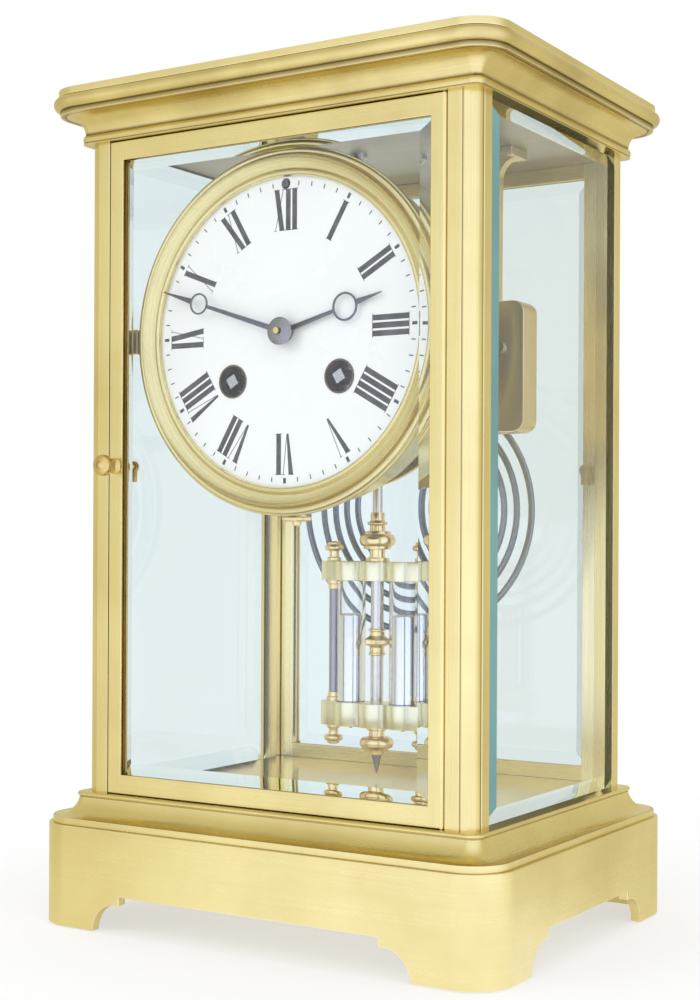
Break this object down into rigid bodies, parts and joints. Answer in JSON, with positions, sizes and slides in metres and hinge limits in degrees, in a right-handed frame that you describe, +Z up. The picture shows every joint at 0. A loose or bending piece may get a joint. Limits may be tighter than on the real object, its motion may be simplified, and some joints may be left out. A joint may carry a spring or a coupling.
{
  "type": "crystal regulator clock",
  "caption": "Glazed brass mantel clock: moulded plinth and cornice, bevelled glass doors, white Roman dial, two-train movement, coil gong and mercury pendulum.",
  "frame": {"origin": "on the floor under the middle of the plinth", "axes": "+Z up, +X to the right as the owner faces the dial, the dial faces -Y"},
  "size_m": [0.1704, 0.1348, 0.275],
  "materials": {
    "gilt_brass": "satin gilt",
    "aged_brass": "aged",
    "steel": "polished steel",
    "blued_steel": "blued steel",
    "enamel": "fired white enamel",
    "glass": "clear, bevelled",
    "mercury": "liquid metal",
    "brushed_plate": "brushed"
  },
  "bodies": {
    "case": {"plinth": "gilt_brass", "base_moulding": "gilt_brass", "floor_plate": "gilt_brass", "columns": "gilt_brass", "left_glass": "glass", "right_glass": "glass", "cornice": "gilt_brass", "top_plate": "gilt_brass", "ceiling_plate": "brushed_plate", "case_screws": "steel", "gong_bracket": "gilt_brass", "gong_block": "gilt_brass", "gong_coil": "blued_steel", "drum": "gilt_brass", "drum_thumb_nut": "aged_brass", "top_hanger": "gilt_brass", "bezel": "gilt_brass", "dial": "enamel", "dial_eyelets": "gilt_brass", "front_plate": "gilt_brass", "back_plate": "gilt_brass", "plate_pillars": "gilt_brass", "suspension_cock": "gilt_brass", "clicks": "steel"},
    "front_door": {"front_door_frame": "gilt_brass", "front_glass": "glass", "front_hinge_pins": "steel"},
    "front_latch": {"front_knob": "aged_brass"},
    "rear_door": {"rear_door_frame": "gilt_brass", "rear_glass": "glass", "rear_hinge_pins": "steel"},
    "rear_latch": {"rear_knob": "aged_brass"},
    "minute": {"minute_hand": "blued_steel", "hand_collet": "steel", "cannon_pinion": "steel"},
    "hour": {"hour_hand": "blued_steel", "hour_wheel": "gilt_brass"},
    "minute_wheel": {"minute_wheel": "gilt_brass"},
    "going_barrel": {"going_barrel": "gilt_brass"},
    "going_arbor": {"going_winding_arbor": "steel"},
    "going_intermediate": {"going_intermediate_wheel": "gilt_brass"},
    "centre": {"centre_wheel": "gilt_brass"},
    "third": {"third_wheel": "gilt_brass"},
    "escape": {"escape_wheel": "gilt_brass"},
    "anchor": {"pallets": "steel"},
    "strike_barrel": {"strike_barrel": "gilt_brass"},
    "strike_arbor": {"strike_winding_arbor": "steel"},
    "strike_intermediate": {"strike_intermediate_wheel": "gilt_brass"},
    "pin_wheel": {"pin_wheel": "gilt_brass"},
    "locking": {"locking_wheel": "gilt_brass"},
    "warning": {"warning_wheel": "gilt_brass"},
    "fly": {"fly": "steel"},
    "hammer": {"hammer": "steel"},
    "regulator": {"regulator_arbor": "steel"},
    "pendulum": {"pendulum_rod": "steel", "pendulum_yokes": "gilt_brass", "pendulum_jars": "glass", "pendulum_mercury": "mercury", "pendulum_side_rods": "steel", "pendulum_finials": "gilt_brass"}
  },
  "joints": [
    {"name": "front_door_swing", "type": "hinge", "parent": "case", "child": "front_door", "pos_m": [0.0617, -0.0539, 0.0466], "axis": [0, 0, 1], "range_deg": [0, 100]},
    {"name": "front_latch_turn", "type": "hinge", "parent": "front_door", "child": "front_latch", "pos_m": [-0.06035, -0.0517, 0.1506], "axis": [0, 1, 0], "range_deg": [0, 90]},
    {"name": "rear_door_swing", "type": "hinge", "parent": "case", "child": "rear_door", "pos_m": [-0.0617, 0.0539, 0.0466], "axis": [0, 0, 1], "range_deg": [0, 100]},
    {"name": "rear_latch_turn", "type": "hinge", "parent": "rear_door", "child": "rear_latch", "pos_m": [0.06035, 0.0517, 0.1506], "axis": [0, -1, 0], "range_deg": [0, 90]},
    {"name": "minute_turn", "type": "hinge", "parent": "case", "child": "minute", "pos_m": [0, -0.0394, 0.1922], "axis": [0, 1, 0], "continuous": true},
    {"name": "hour_turn", "type": "hinge", "parent": "case", "child": "hour", "pos_m": [0, -0.0414, 0.1922], "axis": [0, 1, 0], "continuous": true},
    {"name": "minute_wheel_turn", "type": "hinge", "parent": "case", "child": "minute_wheel", "pos_m": [0, -0.0384, 0.18375], "axis": [0, 1, 0], "continuous": true},
    {"name": "escape_turn", "type": "hinge", "parent": "case", "child": "escape", "pos_m": [0, -0.0189, 0.22029], "axis": [0, 1, 0], "continuous": true},
    {"name": "third_turn", "type": "hinge", "parent": "case", "child": "third", "pos_m": [0.00109, -0.0189, 0.20781], "axis": [0, 1, 0], "continuous": true},
    {"name": "going_intermediate_turn", "type": "hinge", "parent": "case", "child": "going_intermediate", "pos_m": [0.01596, -0.0189, 0.19759], "axis": [0, 1, 0], "continuous": true},
    {"name": "going_barrel_turn", "type": "hinge", "parent": "case", "child": "going_barrel", "pos_m": [0.0202, -0.0189, 0.1774], "axis": [0, 1, 0], "continuous": true},
    {"name": "centre_turn", "type": "hinge", "parent": "case", "child": "centre", "pos_m": [0, -0.0189, 0.1922], "axis": [0, 1, 0], "continuous": true},
    {"name": "going_winding", "type": "hinge", "parent": "case", "child": "going_arbor", "pos_m": [0.0202, -0.0364, 0.1774], "axis": [0, 1, 0], "continuous": true},
    {"name": "fly_turn", "type": "hinge", "parent": "case", "child": "fly", "pos_m": [-0.04084, -0.0189, 0.19424], "axis": [0, 1, 0], "continuous": true},
    {"name": "warning_turn", "type": "hinge", "parent": "case", "child": "warning", "pos_m": [-0.03245, -0.0189, 0.19649], "axis": [0, 1, 0], "continuous": true},
    {"name": "locking_turn", "type": "hinge", "parent": "case", "child": "locking", "pos_m": [-0.02974, -0.0189, 0.20658], "axis": [0, 1, 0], "continuous": true},
    {"name": "pin_wheel_turn", "type": "hinge", "parent": "case", "child": "pin_wheel", "pos_m": [-0.01889, -0.0189, 0.21418], "axis": [0, 1, 0], "continuous": true},
    {"name": "strike_intermediate_turn", "type": "hinge", "parent": "case", "child": "strike_intermediate", "pos_m": [-0.01596, -0.0189, 0.19759], "axis": [0, 1, 0], "continuous": true},
    {"name": "strike_barrel_turn", "type": "hinge", "parent": "case", "child": "strike_barrel", "pos_m": [-0.0202, -0.0189, 0.1774], "axis": [0, 1, 0], "continuous": true},
    {"name": "strike_winding", "type": "hinge", "parent": "case", "child": "strike_arbor", "pos_m": [-0.0202, -0.0364, 0.1774], "axis": [0, 1, 0], "continuous": true},
    {"name": "hammer_lift", "type": "hinge", "parent": "case", "child": "hammer", "pos_m": [-0.01511, -0.0189, 0.22829], "axis": [0, 1, 0], "range_deg": [0, 12], "stiffness_Nm_per_rad": 0.01, "springref_deg": -5.73},
    {"name": "regulator_turn", "type": "hinge", "parent": "case", "child": "regulator", "pos_m": [0, -0.0189, 0.239], "axis": [0, 1, 0], "continuous": true},
    {"name": "pendulum_swing", "type": "hinge", "parent": "case", "child": "pendulum", "pos_m": [0, 0.0139, 0.23129], "axis": [0, 1, 0], "range_deg": [-3, 3]},
    {"name": "anchor_rock", "type": "hinge", "parent": "case", "child": "anchor", "pos_m": [0, -0.0189, 0.23129], "axis": [0, 1, 0], "range_deg": [-3, 3]}
  ],
  "couplings": [
    {"joint": "hour_turn", "follows": "minute_turn", "ratio": 0.083333},
    {"joint": "minute_wheel_turn", "follows": "minute_turn", "ratio": -0.33333},
    {"joint": "third_turn", "follows": "escape_turn", "ratio": -0.090909},
    {"joint": "centre_turn", "follows": "escape_turn", "ratio": 0.0075758},
    {"joint": "going_intermediate_turn", "follows": "escape_turn", "ratio": -0.0012626},
    {"joint": "going_barrel_turn", "follows": "escape_turn", "ratio": 0.00021044},
    {"joint": "fly_turn", "follows": "warning_turn", "ratio": -8},
    {"joint": "locking_turn", "follows": "warning_turn", "ratio": -0.11111},
    {"joint": "pin_wheel_turn", "follows": "warning_turn", "ratio": 0.011111},
    {"joint": "strike_intermediate_turn", "follows": "warning_turn", "ratio": -0.0018519},
    {"joint": "strike_barrel_turn", "follows": "warning_turn", "ratio": 0.00030864},
    {"joint": "anchor_rock", "follows": "pendulum_swing", "ratio": 1}
  ]
}
